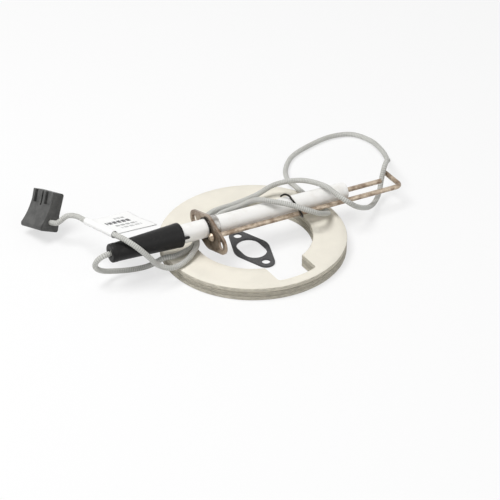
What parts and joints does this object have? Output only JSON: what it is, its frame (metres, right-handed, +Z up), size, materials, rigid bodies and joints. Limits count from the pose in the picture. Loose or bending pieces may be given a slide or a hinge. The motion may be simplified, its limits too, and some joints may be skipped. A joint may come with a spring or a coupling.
{
  "type": "ignition electrode",
  "caption": "Ceramic spark electrode with ground rod, two-bolt flange, rubber boot, braided lead and plug, lying on its round fibre burner gasket.",
  "frame": {"origin": "middle of the footprint of the ring, electrode and flange gasket, on the ground, leaving out the lead, its label and its plug", "axes": "+X along the electrode's longer spread towards the spark end, +Z up from the ground"},
  "size_m": [0.227, 0.1842, 0.0326],
  "materials": {
    "fibre_grey": "pressed ceramic fibre board, matt",
    "fibre_cream": "pressed ceramic fibre board, matt",
    "ceramic": "smooth fired alumina",
    "cement": "refractory cement, rough",
    "heated_rod": "heat resistant alloy, brown from the flame",
    "flange_steel": "stainless, heat tinted",
    "spring_wire": "blackened spring steel",
    "brass": "plain brass",
    "braid": "braided glass sleeve over silicone",
    "boot_rubber": "black moulded silicone rubber, soft sheen",
    "label_paper": "white synthetic paper",
    "plug_plastic": "dark moulded nylon",
    "gasket_board": "graphite fibre board, speckled"
  },
  "bodies": {
    "burner_ring": {"ring_lower_ply": "fibre_grey", "ring_middle_ply": "fibre_grey", "ring_upper_ply": "fibre_cream"},
    "electrode": {"ceramic_insulator": "ceramic", "front_cement": "cement", "rear_cement": "cement", "spark_rod": "heated_rod", "mounting_flange": "flange_steel", "flange_collar": "flange_steel", "packing_ring": "spring_wire", "ground_rod": "heated_rod", "ground_rod_weld": "heated_rod", "rod_clip": "spring_wire", "terminal_pin": "brass", "snap_terminal": "brass", "lead_tail": "braid", "rubber_boot": "boot_rubber", "ignition_lead": "braid", "lead_label": "label_paper", "plug_housing": "plug_plastic", "receptacle_left": "brass", "receptacle_right": "brass", "receptacle_link": "brass", "plug_lead_tail": "braid"},
    "gasket": {"flange_gasket": "gasket_board"}
  },
  "joints": [
    {"name": "electrode_lift", "type": "slide", "parent": "burner_ring", "child": "electrode", "axis": [0, 0, 1], "range_m": [0, 0.06]},
    {"name": "gasket_lift", "type": "slide", "parent": "burner_ring", "child": "gasket", "axis": [0, 0, 1], "range_m": [0, 0.004]}
  ]
}
